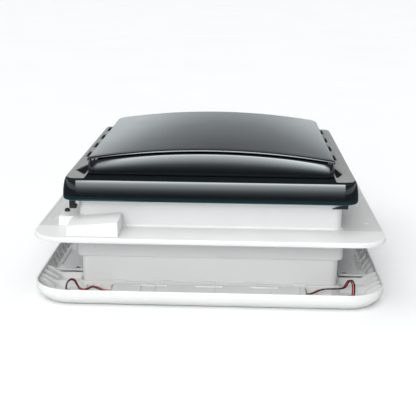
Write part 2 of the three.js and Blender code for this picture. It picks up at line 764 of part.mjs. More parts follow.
// ---- Crank drive -----------------------------------------------------------
// A wheel outline whose teeth step between two radii.
function toothRing(outer, inner, teeth) {
  const points = [];
  for (let i = 0; i < teeth * 4; i++) {
    const angle = ((i + 0.5) / (teeth * 4)) * 2 * Math.PI;
    const radius = i % 4 < 2 ? outer : inner;
    points.push(new THREE.Vector2(radius * Math.cos(angle), radius * Math.sin(angle)));
  }
  return points;
}

// Sector gear on the left arm: teeth from straight down round to the rear.
function sectorGear() {
  const points = toothRing(GEAR_R, GEAR_R - 2, 24).map((p) => [ARM_Y + p.x, AXIS_Z + p.y]);
  const wheel = prism("x", points, -174, -168);
  const keep = box(-175, -167, ARM_Y - 8, ARM_Y + 20, AXIS_Z - 20, AXIS_Z + 3);
  const hub = rod("x", 5, ARM_IN + GAP, -168, ARM_Y, AXIS_Z);
  const hole = rod("x", PIVOT_R + GAP, ARM_IN, -167, ARM_Y, AXIS_Z);
  return joined(wheel.intersect(keep), hub).subtract(hole);
}
place("sector_gear", sectorGear(), BRASS);

// Bevel wheel blank whose point is at the origin: it widens from near to far along +Z.
function bevelWheel(near, far, bore) {
  const slope = 0.88;
  const blank = new THREE.CylinderGeometry(far * slope, near * slope, far - near, 14);
  blank.rotateX(Math.PI / 2).translate(0, 0, (near + far) / 2);
  return toSolid(blank).subtract(rod("z", bore, near - 1, far + 1, 0, 0));
}

function driveShaft() {
  const shaft = rod("y", SHAFT_R, SPINDLE_Y + 5, 58, SHAFT_X, SHAFT_Z);
  const profile = [[0, 18]];
  for (let y = 18; y < 46; y += 4) {
    profile.push([4, y], [4, y + 2], [3, y + 2], [3, y + 4]);
  }
  profile.push([0, 46]);
  const points = profile.map(([r, y]) => new THREE.Vector2(r, y));
  const worm = new THREE.LatheGeometry(points, 10).translate(SHAFT_X, 0, SHAFT_Z);
  return joined(shaft, toSolid(worm));
}
place("drive_shaft", driveShaft(), STEEL);
place(
  "shaft_gear",
  bevelWheel(6.5, 12.5, SHAFT_R + GAP).rotate([-90, 0, 0]).translate([SHAFT_X, SPINDLE_Y, SHAFT_Z]),
  BRASS,
);
place(
  "spindle_gear",
  bevelWheel(6.5, 12.5, SHAFT_R + GAP).rotate([180, 0, 0]).translate([SHAFT_X, SPINDLE_Y, SHAFT_Z]),
  BRASS,
);
place("crank_spindle", rod("z", SHAFT_R, 7, SHAFT_Z - 5, SHAFT_X, SPINDLE_Y), STEEL);

function shaftBracket(y) {
  const block = box(-184.7, -164, y, y + 8, SHAFT_Z - 8.5, SHAFT_Z + 6.5);
  return block.subtract(rod("y", SHAFT_R + GAP, y - 1, y + 9, SHAFT_X, SHAFT_Z));
}
place("shaft_bracket_front", shaftBracket(-152), BLACK);
place("shaft_bracket_rear", shaftBracket(49), BLACK);
place(
  "spindle_bracket",
  cut(
    box(-184.7, -163, -175.5, -164, SHAFT_Z - 25.5, SHAFT_Z - 17.5),
    rod("z", SHAFT_R + GAP, SHAFT_Z - 27, SHAFT_Z - 16, SHAFT_X, SPINDLE_Y),
  ),
  BLACK,
);

function crankKnob() {
  const body = loft([
    toothRing(9.6, 8.8, 9).map((p) => new THREE.Vector3(p.x, p.y, 0.6)),
    toothRing(10.4, 9.4, 9).map((p) => new THREE.Vector3(p.x, p.y, 2)),
    toothRing(10.4, 9.4, 9).map((p) => new THREE.Vector3(p.x, p.y, 9)),
  ]).translate([SHAFT_X, SPINDLE_Y, 0]);
  return body.subtract(rod("z", SHAFT_R + GAP, 6.6, 10, SHAFT_X, SPINDLE_Y));
}
place("crank_knob", crankKnob(), WHITE);

export default root;
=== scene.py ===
"""Looks of the roof vent cover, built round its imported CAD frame.

Lengths in the helper functions are millimetres; mesh_from() turns them into metres.
"""

import math

import bmesh
import bpy
from mathutils import Matrix, Vector


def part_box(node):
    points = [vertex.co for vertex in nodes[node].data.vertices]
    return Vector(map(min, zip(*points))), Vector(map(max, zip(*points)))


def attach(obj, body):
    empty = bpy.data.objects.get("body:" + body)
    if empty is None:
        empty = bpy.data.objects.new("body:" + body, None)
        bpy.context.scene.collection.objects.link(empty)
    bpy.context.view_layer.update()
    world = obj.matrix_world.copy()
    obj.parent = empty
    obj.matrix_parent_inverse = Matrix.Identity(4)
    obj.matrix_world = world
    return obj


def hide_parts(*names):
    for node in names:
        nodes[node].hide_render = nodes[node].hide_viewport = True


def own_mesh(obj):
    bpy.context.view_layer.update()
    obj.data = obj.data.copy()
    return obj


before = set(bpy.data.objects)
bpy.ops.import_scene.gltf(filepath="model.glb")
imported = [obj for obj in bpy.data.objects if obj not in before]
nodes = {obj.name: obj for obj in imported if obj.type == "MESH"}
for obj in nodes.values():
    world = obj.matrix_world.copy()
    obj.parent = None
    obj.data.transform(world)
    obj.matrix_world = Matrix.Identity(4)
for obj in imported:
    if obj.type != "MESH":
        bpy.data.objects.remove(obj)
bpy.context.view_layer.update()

MM = 0.001
ARC_STEPS = 14  # points along a rounded corner of the outline
ROW_POINTS = 4 * (ARC_STEPS + 1)
FILLET_STEPS = 5  # points along a rounded edge of a section
SPAN_STEPS = 8  # points between two of a wire's route
SHARP_DEGREES = 38
GAP = 0.3  # clearance between pieces that touch


def span(node):
    """Lowest and highest corner of a CAD node, in millimetres."""
    low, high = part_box(node)
    return [v / MM for v in low], [v / MM for v in high]


# ---- Driving dimensions, read from the frame where a node gives them --------
_, FRAME_HIGH = span("ceiling_frame")
BASE_LOW, BASE_HIGH = span("base_frame")
PAN_LOW, PAN_HIGH = span("lid_pan")
HOOD_LOW, HOOD_HIGH = span("lid_hood")
HOUSING_LOW, _ = span("gear_housing")
COLLAR_LOW, COLLAR_HIGH = span("telescopic_collar")

FRAME_HALF = FRAME_HIGH[0]
FRAME_TOP = FRAME_HIGH[2]
FRAME_RADIUS = 56
FRAME_PLATE = 2.8
FRAME_FLOOR = 1.5  # ribs, bosses and gussets start inside the plate
OPENING_HALF = 160
CHANNEL_INNER = 190.3
COLLAR_HALF = COLLAR_HIGH[0]
CORNER = 12

FLANGE_HALF = BASE_HIGH[0]
FLANGE_RADIUS = 44
FLANGE_TOP = HOUSING_LOW[2] - GAP
FLANGE_THICK = 3.5
FLANGE_UNDER = FLANGE_TOP - FLANGE_THICK
LIP_BOTTOM = FLANGE_TOP - 7
SPIGOT_HALF = 192
UPSTAND_HALF = 188
UPSTAND_TOP = BASE_HIGH[2]
SCREW_X = 229
SCREW_ROW = (-150, -50, 50, 150)
FIELD_END = 189  # half length of the texture fields in the flange

SKIRT_BOTTOM = PAN_LOW[2]
SKIRT_HALF = PAN_HIGH[0]
LID_TOP = PAN_HIGH[2]
LID_HALF = SKIRT_HALF - 2.5
LID_WALL = 2.8

HOOD_HALF = HOOD_HIGH[0]
HOOD_FRONT = HOOD_LOW[1]
HOOD_BACK = HOOD_HIGH[1]
HOOD_RISE = 14
HOOD_EDGE = HOOD_HIGH[2] - HOOD_RISE
HOOD_THICK = 2.6
STRIP_INNER = HOOD_HALF - 0.5


# ---- Mesh helpers -----------------------------------------------------------
def mark_edges(mesh, degrees=SHARP_DEGREES):
    """Smooth shading, with edges sharper than the given angle kept crisp."""
    work = bmesh.new()
    work.from_mesh(mesh)
    for face in work.faces:
        face.smooth = True
    for edge in work.edges:
        flat = edge.is_manifold and edge.calc_face_angle(0.0) < math.radians(degrees)
        edge.smooth = flat
    work.to_mesh(mesh)
    work.free()


def mesh_from(name, vertices, faces):
    """A new object from millimetre vertices, with its faces turned outwards."""
    mesh = bpy.data.meshes.new(name)
    mesh.from_pydata([Vector(v) * MM for v in vertices], [], faces)
    work = bmesh.new()
    work.from_mesh(mesh)
    bmesh.ops.remove_doubles(work, verts=work.verts, dist=1e-6)
    bmesh.ops.recalc_face_normals(work, faces=work.faces)
    work.to_mesh(mesh)
    work.free()
    obj = bpy.data.objects.new(name, mesh)
    bpy.context.scene.collection.objects.link(obj)
    return obj


def apply_modifiers(obj):
    """Bakes the object's modifiers into its mesh."""
    bpy.context.view_layer.update()
    graph = bpy.context.evaluated_depsgraph_get()
    mesh = bpy.data.meshes.new_from_object(obj.evaluated_get(graph))
    obj.modifiers.clear()
    old = obj.data
    obj.data = mesh
    bpy.data.meshes.remove(old)
    return obj


def boolean(obj, tools, operation):
    """Joins or cuts with closed tool objects, which are used up."""
    for tool in tools:
        step = obj.modifiers.new("cut", "BOOLEAN")
        step.operation = operation
        step.object = tool
        step.solver = "MANIFOLD"
    apply_modifiers(obj)
    for tool in tools:
        mesh = tool.data
        bpy.data.objects.remove(tool)
        bpy.data.meshes.remove(mesh)
    return obj


def bevel(obj, width, segments=3, degrees=30):
    step = obj.modifiers.new("edge", "BEVEL")
    step.width = width * MM
    step.segments = segments
    step.limit_method = "ANGLE"
    step.angle_limit = math.radians(degrees)
    step.use_clamp_overlap = True
    return obj


def even_normals(obj):
    step = obj.modifiers.new("normals", "WEIGHTED_NORMAL")
    step.keep_sharp = True
    return obj


def block(x0, x1, y0, y1, z0, z1, round_by=0.0, segments=3):
    """A box, with rounded edges if asked."""
    corners = [(x, y, z) for z in (z0, z1) for y in (y0, y1) for x in (x0, x1)]
    faces = [(0, 2, 3, 1), (4, 5, 7, 6), (0, 1, 5, 4), (2, 6, 7, 3), (0, 4, 6, 2), (1, 3, 7, 5)]
    obj = mesh_from("block", corners, faces)
    if round_by:
        apply_modifiers(bevel(obj, round_by, segments))
    return obj


def turned(profile, centre, steps=24):
    """A solid of revolution about Z: profile is (radius, height) pairs."""
    cx, cy, cz = centre
    vertices = []
    for radius, height in profile:
        for i in range(steps):
            angle = 2 * math.pi * i / steps
            u, v = radius * math.cos(angle), radius * math.sin(angle)
            vertices.append((cx + u, cy + v, cz + height))
    return mesh_from("turned", vertices, strips(len(profile), steps))


def strips(rows, count):
    """Faces between rows of points that each close on themselves, and both end caps."""
    faces = []
    for k in range(rows - 1):
        for i in range(count):
            j = (i + 1) % count
            faces.append((k * count + i, k * count + j, (k + 1) * count + j, (k + 1) * count + i))
    faces.append(tuple(reversed(range(count))))
    faces.append(tuple((rows - 1) * count + i for i in range(count)))
    return faces


def peg(radius, z0, z1, x, y, steps=24):
    return turned([(radius, z0), (radius, z1)], (x, y, 0), steps)


def rounded_square(half, radius):
    points = []
    for cx, cy, start in ((1, -1, -90), (1, 1, 0), (-1, 1, 90), (-1, -1, 180)):
        for i in range(ARC_STEPS + 1):
            angle = math.radians(start + 90 * i / ARC_STEPS)
            x = cx * (half - radius) + radius * math.cos(angle)
            y = cy * (half - radius) + radius * math.sin(angle)
            points.append((x, y))
    return points


def filleted(points, closed=True, steps=FILLET_STEPS):
    """Rounds the corners of an outline of (u, v, radius) points."""
    result = []
    count = len(points)
    for i, (u, v, radius) in enumerate(points):
        ends = not closed and i in (0, count - 1)
        if ends or radius <= 0:
            result.append((u, v))
            continue
        here = Vector((u, v))
        back = Vector(points[i - 1][:2]) - here
        ahead = Vector(points[(i + 1) % count][:2]) - here
        half_angle = back.angle(ahead) / 2
        reach = min(radius / math.tan(half_angle), 0.48 * back.length, 0.48 * ahead.length)
        radius = reach * math.tan(half_angle)
        start = here + back.normalized() * reach
        stop = here + ahead.normalized() * reach
        centre = here + (back.normalized() + ahead.normalized()).normalized() * (
            radius / math.sin(half_angle)
        )
        a, b = start - centre, stop - centre
        sweep = a.angle_signed(b)
        for k in range(steps + 1):
            turn = Matrix.Rotation(-sweep * k / steps, 2)
            result.append(tuple(centre + turn @ a))
    return result


def square_rows(section, corner):
    """One rounded square of points for each (half width, z) of the section."""
    vertices = []
    for half, z in section:
        vertices += [(x, y, z) for x, y in rounded_square(half, corner(half))]
    return vertices


def square_ring(name, section, corner):
    """Sweeps a closed (half width, z) section round a square; corner(half) gives the radius."""
    vertices = square_rows(section, corner)
    count = ROW_POINTS
    rows = len(section)
    faces = []
    for k in range(rows):
        m = (k + 1) % rows
        for i in range(count):
            j = (i + 1) % count
            faces.append((k * count + i, k * count + j, m * count + j, m * count + i))
    return mesh_from(name, vertices, faces)


def square_cup(name, section, corner):
    """As square_ring, for an open section whose first and last rows are closed by flat faces."""
    return mesh_from(name, square_rows(section, corner), strips(len(section), ROW_POINTS))


def tube(name, route, radius, sides=14):
    """A round wire along a smooth curve through the route's points."""
    points = smooth_route(route)
    vertices = []
    side = Vector((0, 0, 1))
    for i, point in enumerate(points):
        ahead = (points[min(i + 1, len(points) - 1)] - points[max(i - 1, 0)]).normalized()
        side = (side - ahead * side.dot(ahead)).normalized()
        other = ahead.cross(side)
        for k in range(sides):
            angle = 2 * math.pi * k / sides
            vertices.append(point + (side * math.cos(angle) + other * math.sin(angle)) * radius)
    return mesh_from(name, vertices, strips(len(points), sides))


def smooth_route(route):
    """Points of a Catmull-Rom curve."""
    points = [Vector(p) for p in route]
    ends = [2 * points[0] - points[1]] + points + [2 * points[-1] - points[-2]]
    result = []
    for a, b, c, d in zip(ends, ends[1:], ends[2:], ends[3:]):
        for k in range(SPAN_STEPS):
            t = k / SPAN_STEPS
            result.append(
                0.5
                * (
                    2 * b
                    + (c - a) * t
                    + (2 * a - 5 * b + 4 * c - d) * t**2
                    + (3 * b - a - 3 * c + d) * t**3
                )
            )
    result.append(points[-1])
    return result


def mirrored(obj, name):
    """A copy reflected to the other side of the object."""
    mesh = obj.data.copy()
    mesh.transform(Matrix.Scale(-1, 4, Vector((1, 0, 0))))
    mesh.flip_normals()
    copy = bpy.data.objects.new(name, mesh)
    bpy.context.scene.collection.objects.link(copy)
    return copy


# ---- Materials --------------------------------------------------------------
class Surface:
    """A Principled material with object-space procedural detail."""

    def __init__(self, name, color, roughness, metallic=0.0, ior=1.47):
        self.material = bpy.data.materials.new(name)
        self.material.use_nodes = True
        self.tree = self.material.node_tree
        self.shader = self.tree.nodes["Principled BSDF"]
        self.set("Base Color", (*color, 1))
        self.set("Roughness", roughness)
        self.set("Metallic", metallic)
        self.set("IOR", ior)
        self.color = color
        self.coordinates = self.tree.nodes.new("ShaderNodeTexCoord").outputs["Object"]
        self.normal = None

    def set(self, socket, value):
        self.shader.inputs[socket].default_value = value
        return self

    def node(self, kind, **values):
        made = self.tree.nodes.new(kind)
        for key, value in values.items():
            if key in made.inputs:
                made.inputs[key].default_value = value
            else:
                setattr(made, key, value)
        return made

    def link(self, output, socket):
        self.tree.links.new(output, socket)

    def math(self, operation, *values):
        made = self.node("ShaderNodeMath", operation=operation)
        for value, socket in zip(values, made.inputs):
            self.link(value, socket)
        return made.outputs[0]

    def noise(self, scale, detail):
        made = self.node("ShaderNodeTexNoise", Scale=scale, Detail=detail)
        self.link(self.coordinates, made.inputs["Vector"])
        return made.outputs["Fac"]

    def mapped(self, value, low, high, from_low=0.3, from_high=0.7):
        made = self.node("ShaderNodeMapRange")
        made.inputs["From Min"].default_value = from_low
        made.inputs["From Max"].default_value = from_high
        made.inputs["To Min"].default_value = low
        made.inputs["To Max"].default_value = high
        self.link(value, made.inputs["Value"])
        return made.outputs["Result"]

    def blend_color(self, factor, first, second):
        mix = self.node("ShaderNodeMix", data_type="RGBA")
        self.link(factor, mix.inputs["Factor"])
        for socket, value in (("A", first), ("B", second)):
            target = [i for i in mix.inputs if i.name == socket and i.type == "RGBA"][0]
            if isinstance(value, tuple):
                target.default_value = (*value, 1)
            else:
                self.link(value, target)
        return [o for o in mix.outputs if o.type == "RGBA"][0]

    def mottle(self, scale, amount):
        """Slight lighter and darker areas."""
        factor = self.mapped(self.noise(scale, 4), 0, 1)
        dark = tuple(c * (1 - amount) for c in self.color)
        light = tuple(min(1, c * (1 + amount)) for c in self.color)
        self.link(self.blend_color(factor, dark, light), self.shader.inputs["Base Color"])
        return self

    def vary_roughness(self, scale, low, high):
        self.link(self.mapped(self.noise(scale, 4), low, high), self.shader.inputs["Roughness"])
        return self

    def bump(self, height, strength, distance):
        made = self.node("ShaderNodeBump", Strength=strength, Distance=distance * MM)
        self.link(height, made.inputs["Height"])
        if self.normal is not None:
            self.link(self.normal, made.inputs["Normal"])
        self.normal = made.outputs["Normal"]
        self.link(self.normal, self.shader.inputs["Normal"])
        return self

    def grain(self, scale, strength, distance):
        return self.bump(self.noise(scale, 2), strength, distance)

    def axis(self, index):
        """The position along one axis, in metres."""
        split = self.node("ShaderNodeSeparateXYZ")
        self.link(self.coordinates, split.inputs["Vector"])
        return split.outputs[index]


def white_shell():
    made = Surface("white_shell", (0.8, 0.8, 0.79), 0.4)
    made.mottle(7, 0.015).vary_roughness(35, 0.34, 0.5)
    made.grain(1500, 0.12, 0.12).grain(60, 0.04, 0.6)
    return made.material


def base_shell():
    """White moulding whose side rails have a coarser texture field, with painted shade making them greyer
    than the front rail.
    """
    made = Surface("base_shell", (0.75, 0.75, 0.745), 0.42)
    made.grain(1500, 0.12, 0.12)
    x, y = (made.math("ABSOLUTE", made.axis(index)) for index in (0, 1))
    outside = made.mapped(x, 0, 1, (UPSTAND_HALF + 1) * MM, (UPSTAND_HALF + 3) * MM)
    along = made.mapped(y, 1, 0, (FIELD_END - 1) * MM, (FIELD_END + 1) * MM)
    spots = made.mapped(made.noise(900, 3), 0.94, 1.03)
    # Painted shade: the side rails' texture field is coloured greyer than the front rail, with a little
    # random tone.
    texture_and_shade_field = made.math("MULTIPLY", made.math("MULTIPLY", outside, along), spots)
    color = made.blend_color(texture_and_shade_field, made.color, (0.62, 0.62, 0.615))
    made.link(color, made.shader.inputs["Base Color"])
    made.vary_roughness(35, 0.36, 0.52)
    return made.material


SMOKE_COAT = 0.35


def smoke_surface(name):
    """Acrylic with a smoke tint: near black, with a painted teal glow where its lower rim is thin."""
    made = Surface(name, (0.005, 0.007, 0.009), 0.06, ior=1.5)
    made.set("Coat Weight", SMOKE_COAT).set("Coat Roughness", 0.03)
    # Painted glow: the lowest few millimetres of the skirt are coloured teal, fading upwards.
    rim = made.mapped(made.axis(2), 1, 0, (SKIRT_BOTTOM + 1) * MM, (SKIRT_BOTTOM + 8) * MM)
    rim_glow_color = made.blend_color(rim, made.color, (0.008, 0.03, 0.036))
    made.link(rim_glow_color, made.shader.inputs["Base Color"])
    made.grain(90, 0.012, 0.3)
    return made


def smoke_lid():
    made = smoke_surface("smoke_lid")
    made.vary_roughness(18, 0.04, 0.1)
    return made.material


def smoke_pan():
    """The lid's glossy acrylic, with a matte black top face below the hood and vents."""
    made = smoke_surface("smoke_pan")
    top = made.mapped(made.axis(2), 0, 1, (LID_TOP - 0.5) * MM, (LID_TOP - 0.2) * MM)
    fine = made.mapped(made.noise(500, 3), 0.55, 0.75)
    soft = made.node("ShaderNodeMath", operation="MULTIPLY_ADD")
    made.link(top, soft.inputs[0])
    made.link(fine, soft.inputs[1])
    soft.inputs[2].default_value = 0.05
    made.link(soft.outputs[0], made.shader.inputs["Roughness"])
    made.link(made.mapped(top, 0.5, 0.08, 0, 1), made.shader.inputs["Specular IOR Level"])
    made.link(made.mapped(top, SMOKE_COAT, 0, 0, 1), made.shader.inputs["Coat Weight"])
    return made.material


def grey_strip():
    made = Surface("grey_strip", (0.3, 0.3, 0.295), 0.62)
    made.mottle(40, 0.05).vary_roughness(120, 0.55, 0.72).grain(1300, 0.35, 0.15)
    return made.material


def light_grey():
    made = Surface("light_grey", (0.72, 0.73, 0.73), 0.5)
    made.mottle(12, 0.03).vary_roughness(60, 0.42, 0.6).grain(1200, 0.2, 0.12)
    return made.material


def black_plastic():
    made = Surface("black_plastic", (0.012, 0.012, 0.013), 0.45)
    made.mottle(60, 0.2).vary_roughness(150, 0.36, 0.55).grain(1600, 0.3, 0.1)
    return made.material


def rubber_seal():
    made = Surface("rubber_seal", (0.014, 0.014, 0.015), 0.75)
    made.mottle(50, 0.25).vary_roughness(200, 0.65, 0.85).grain(900, 0.4, 0.15)
    return made.material


def steel():
    made = Surface("steel", (0.52, 0.53, 0.54), 0.25, metallic=1.0)
    made.mottle(80, 0.06).vary_roughness(400, 0.18, 0.36).grain(1800, 0.1, 0.05)
    return made.material


def brass():
    made = Surface("brass", (0.6, 0.43, 0.16), 0.32, metallic=1.0)
    made.mottle(90, 0.12).vary_roughness(250, 0.26, 0.45).grain(1400, 0.2, 0.08)
    return made.material


def blind_cloth():
    made = Surface("blind_cloth", (0.62, 0.61, 0.57), 0.85)
    made.set("Sheen Weight", 0.3).set("Sheen Roughness", 0.5)
    made.mottle(900, 0.08)
    weave(made, 2600, 0.35)
    return made.material


def weave(made, scale, strength):
    """Threads crossing at right angles."""
    threads = []
    for direction in ("X", "Z"):
        wave = made.node("ShaderNodeTexWave", Scale=scale, Distortion=0.6, Detail=1.0)
        wave.bands_direction = direction
        made.link(made.coordinates, wave.inputs["Vector"])
        threads.append(wave.outputs["Fac"])
    return made.bump(made.math("MULTIPLY", *threads), strength, 0.12)


def screen_mesh():
    made = Surface("screen_mesh", (0.05, 0.05, 0.052), 0.8)
    made.mottle(700, 0.15)
    weave(made, 1500, 0.7)
    return made.material


def lamp_lens():
    made = Surface("lamp_lens", (0.86, 0.85, 0.8), 0.3)
    made.set("Subsurface Weight", 0.4).set("Subsurface Scale", 0.003)
    made.vary_roughness(200, 0.25, 0.4).grain(1100, 0.15, 0.1)
    return made.material


def lamp_board():
    made = Surface("lamp_board", (0.02, 0.14, 0.05), 0.35)
    made.mottle(300, 0.25).vary_roughness(300, 0.25, 0.5).grain(500, 0.15, 0.1)
    return made.material


def wire_red():
    made = Surface("wire_red", (0.5, 0.015, 0.01), 0.38)
    made.mottle(150, 0.1).vary_roughness(300, 0.32, 0.48).grain(900, 0.1, 0.08)
    return made.material


def wire_black():
    made = Surface("wire_black", (0.01, 0.01, 0.011), 0.4)
    made.mottle(150, 0.2).vary_roughness(300, 0.34, 0.5).grain(900, 0.1, 0.08)
    return made.material


LOOKS = {
    "white_shell": white_shell(),
    "base_shell": base_shell(),
    "smoke_lid": smoke_lid(),
    "smoke_pan": smoke_pan(),
    "grey_strip": grey_strip(),
    "light_grey": light_grey(),
    "black_plastic": black_plastic(),
    "rubber_seal": rubber_seal(),
    "steel": steel(),
    "brass": brass(),
    "blind_cloth": blind_cloth(),
    "screen_mesh": screen_mesh(),
    "lamp_lens": lamp_lens(),
    "lamp_board": lamp_board(),
    "lead_red": wire_red(),
    "lead_black": wire_black(),
}


def finish(obj, look, body, *cad, slot=None, degrees=SHARP_DEGREES, weighted=True):
    """Shades a new piece, rides it on its body and lets it stand for its CAD nodes."""
    obj.name = obj.data.name = obj.name.split(".")[0]
    mark_edges(obj.data, degrees)
    obj.data.materials.clear()
    obj.data.materials.append(LOOKS[look])
    if weighted:
        even_normals(obj)
    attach(obj, body)
    if cad:
        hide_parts(*cad)
    return obj


# ---- Camera, lights and floor ----------------------------------------------
FOCAL_PIXELS = 851.0  # over a frame 416 pixels wide
FRAME_PIXELS = 416
SENSOR_MM = 36.0
CAMERA_PLACE = (0.039, -1.348, 0.4574)  # metres
CAMERA_TURN = (2.05, 15.77, 0.49)  # yaw, pitch and roll in degrees


def add_camera():
    data = bpy.data.cameras.new("camera")
    data.sensor_width = SENSOR_MM
    data.lens = FOCAL_PIXELS / FRAME_PIXELS * SENSOR_MM
    data.clip_end = 50
    camera = bpy.data.objects.new("camera", data)
    yaw, pitch, roll = (math.radians(v) for v in CAMERA_TURN)
    ahead = Vector(
        (-math.sin(yaw) * math.cos(pitch), math.cos(yaw) * math.cos(pitch), -math.sin(pitch))
    )
    right = Vector((math.cos(yaw), math.sin(yaw), 0))
    up = right.cross(ahead)
    level = math.cos(roll) * right + math.sin(roll) * up
    upright = math.cos(roll) * up - math.sin(roll) * right
    turn = Matrix((level, upright, -ahead)).transposed().to_4x4()
    camera.matrix_world = Matrix.Translation(CAMERA_PLACE) @ turn
    bpy.context.scene.collection.objects.link(camera)
    bpy.context.scene.camera = camera


# How bright the studio looks in a glossy surface: (elevation in degrees, radiance).
WORLD_GLOW = (
    (0, 0.1), (1.5, 0.9), (8, 1.05), (9, 0.76), (10, 0.42), (12.4, 0.15), (14, 0.12), (20, 0.2),
    (90, 0.3),
)
CARD_GLOW = (
    (-12, 0.06), (-9, 0.08), (-6, 0.13), (-3, 0.3), (0, 0.6), (2.5, 1.0), (5, 1.7), (9, 3.3),
    (13, 5.0), (20, 8.5), (28, 14), (50, 14),
)
GLOW_TINT = (0.9, 0.97, 1.0)
FLOOR_REACH = 30000
FLOOR_Z = -0.4
BACKDROP_SIDES = 48
CARD_Y = -2500
CARD_HALF = 900
CARD_FADE = 0.35  # share of its half width over which its ends grow dark
CARD_CENTRE = 160  # height that the elevations are measured from


def glow_ramp(tree, steps, position, peak):
    """A colour ramp of grey levels; position turns an elevation into 0 to 1."""
    node = tree.nodes.new("ShaderNodeValToRGB")
    elements = node.color_ramp.elements
    for _ in range(len(steps) - 2):
        elements.new(0.5)
    for element, (elevation, _) in zip(elements, steps):
        element.position = position(elevation)
    for element, (_, radiance) in zip(elements, steps):
        element.color = (*(radiance / peak * part for part in GLOW_TINT), 1)
    return node


def add_floor():
    corners = ((-1, -1), (1, -1), (1, 1), (-1, 1))
    reach = FLOOR_REACH
    floor = mesh_from("floor", [(x * reach, y * reach, FLOOR_Z) for x, y in corners], [(0, 1, 2, 3)])
    made = Surface("floor", (0.9, 0.9, 0.9), 0.8)
    made.mottle(2, 0.01)
    floor.data.materials.append(made.material)
    floor.visible_glossy = False


def hide_from_light(stage_piece):
    stage_piece.visible_diffuse = False
    stage_piece.visible_shadow = False
    stage_piece.visible_transmission = False


def add_backdrop():
    """A white wall at the floor's edge, seen only by the camera in low views."""
    steps = [2 * math.pi * i / BACKDROP_SIDES for i in range(BACKDROP_SIDES)]
    ring = [(FLOOR_REACH * math.cos(a), FLOOR_REACH * math.sin(a)) for a in steps]
    vertices = [(x, y, z) for z in (-FLOOR_REACH, FLOOR_REACH) for x, y in ring]
    count = BACKDROP_SIDES
    faces = [(i, (i + 1) % count, (i + 1) % count + count, i + count) for i in range(count)]
    backdrop = mesh_from("backdrop", vertices, faces)
    material = bpy.data.materials.new("backdrop")
    material.use_nodes = True
    tree = material.node_tree
    tree.nodes.remove(tree.nodes["Principled BSDF"])
    glow = tree.nodes.new("ShaderNodeEmission")
    glow.inputs["Color"].default_value = (1, 1, 1, 1)
    tree.links.new(glow.outputs["Emission"], tree.nodes["Material Output"].inputs["Surface"])
    backdrop.data.materials.append(material)
    hide_from_light(backdrop)
    backdrop.visible_glossy = False


def add_world():
    world = bpy.data.worlds.new("studio")
    world.use_nodes = True
    tree = world.node_tree
    split = tree.nodes.new("ShaderNodeSeparateXYZ")
    coordinates = tree.nodes.new("ShaderNodeTexCoord")
    tree.links.new(coordinates.outputs["Generated"], split.inputs["Vector"])
    peak = max(radiance for _, radiance in WORLD_GLOW)
    ramp = glow_ramp(tree, WORLD_GLOW, lambda angle: math.sin(math.radians(angle)), peak)
    tree.links.new(split.outputs["Z"], ramp.inputs["Fac"])
    tree.links.new(ramp.outputs["Color"], tree.nodes["Background"].inputs["Color"])
    tree.nodes["Background"].inputs["Strength"].default_value = peak
    bpy.context.scene.world = world


def end_fade(tree, along, peak):
    """The peak over the middle of the card, falling to zero at both ends."""
    offset = tree.nodes.new("ShaderNodeMath")
    offset.operation = "SUBTRACT"
    offset.inputs[1].default_value = 0.5
    tree.links.new(along, offset.inputs[0])
    away = tree.nodes.new("ShaderNodeMath")
    away.operation = "ABSOLUTE"
    tree.links.new(offset.outputs[0], away.inputs[0])
    fade = tree.nodes.new("ShaderNodeMapRange")
    fade.interpolation_type = "SMOOTHSTEP"
    fade.inputs["From Min"].default_value = 0.5 - CARD_FADE / 2
    fade.inputs["From Max"].default_value = 0.5
    fade.inputs["To Min"].default_value = peak
    fade.inputs["To Max"].default_value = 0
    tree.links.new(away.outputs[0], fade.inputs["Value"])
    return fade.outputs["Result"]


def add_card():
    """Soft light in front, seen only in reflections, that brightens upwards."""

    def height(angle):
        return CARD_CENTRE + math.tan(math.radians(angle)) * -CARD_Y

    low, high = height(CARD_GLOW[0][0]), height(CARD_GLOW[-1][0])
    corners = ((-1, low), (1, low), (1, high), (-1, high))
    card = mesh_from("card", [(x * CARD_HALF, CARD_Y, z) for x, z in corners], [(0, 1, 2, 3)])
    material = bpy.data.materials.new("card")
    material.use_nodes = True
    tree = material.node_tree
    tree.nodes.remove(tree.nodes["Principled BSDF"])
    split = tree.nodes.new("ShaderNodeSeparateXYZ")
    coordinates = tree.nodes.new("ShaderNodeTexCoord")
    tree.links.new(coordinates.outputs["Generated"], split.inputs["Vector"])
    peak = max(radiance for _, radiance in CARD_GLOW)
    ramp = glow_ramp(tree, CARD_GLOW, lambda angle: (height(angle) - low) / (high - low), peak)
    tree.links.new(split.outputs["Z"], ramp.inputs["Fac"])
    glow = tree.nodes.new("ShaderNodeEmission")
    tree.links.new(end_fade(tree, split.outputs["X"], peak), glow.inputs["Strength"])
    tree.links.new(ramp.outputs["Color"], glow.inputs["Color"])
    tree.links.new(glow.outputs["Emission"], tree.nodes["Material Output"].inputs["Surface"])
    card.data.materials.append(material)
    card.visible_camera = False
    hide_from_light(card)


def add_sun(name, direction, power, spread_degrees):
    """Broad even light; it doesn't show in reflections."""
    data = bpy.data.lights.new(name, "SUN")
    data.energy = power
    data.angle = math.radians(spread_degrees)
    light = bpy.data.objects.new(name, data)
    light.rotation_euler = Vector(direction).to_track_quat("-Z", "Y").to_euler()
    light.visible_glossy = False
    bpy.context.scene.collection.objects.link(light)


def add_stage():
    add_floor()
    add_backdrop()
    add_world()
    add_card()
    add_sun("overhead", (0.2, 0.3, -1), 2.6, 100)
    add_sun("front", (0.25, 1, -0.45), 0.9, 25)
    bpy.context.scene.view_settings.view_transform = "Standard"


add_camera()
add_stage()


# ---- Base -------------------------------------------------------------------
def flange_corner(half):
    return max(CORNER, FLANGE_RADIUS - (FLANGE_HALF - half))


